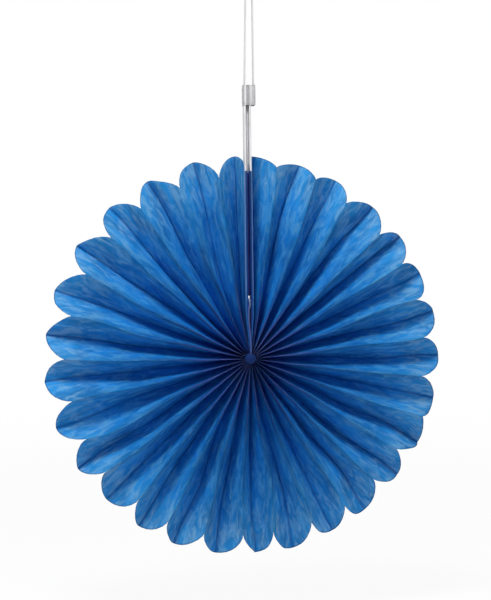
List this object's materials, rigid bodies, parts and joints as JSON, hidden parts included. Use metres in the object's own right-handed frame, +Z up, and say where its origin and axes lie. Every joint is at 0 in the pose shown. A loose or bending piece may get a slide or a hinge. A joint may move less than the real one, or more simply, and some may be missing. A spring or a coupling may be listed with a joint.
{
  "type": "paper fan rosette",
  "caption": "Hanging rosette of pleated tissue opened through a full turn, with a scalloped rim and a long narrow hanging loop.",
  "frame": {"origin": "underside of the hanging loop's top bend, where the hook bears", "axes": "+Z up along the loop, the disc in the XZ plane, its front facing -Y"},
  "size_m": [0.3988, 0.0507, 0.5558],
  "materials": {
    "tissue": "matt blue tissue",
    "strip": "satin, milky",
    "tape": "matt, milky",
    "sleeve": "satin, milky",
    "band": "satin, milky",
    "thread": "twisted, matt"
  },
  "bodies": {
    "root": {"paper_fan": "tissue", "stay_left": "strip", "stay_right": "strip", "join_strip": "tape", "collar": "sleeve", "hanging_loop": "band", "tie_thread": "thread"}
  },
  "joints": []
}
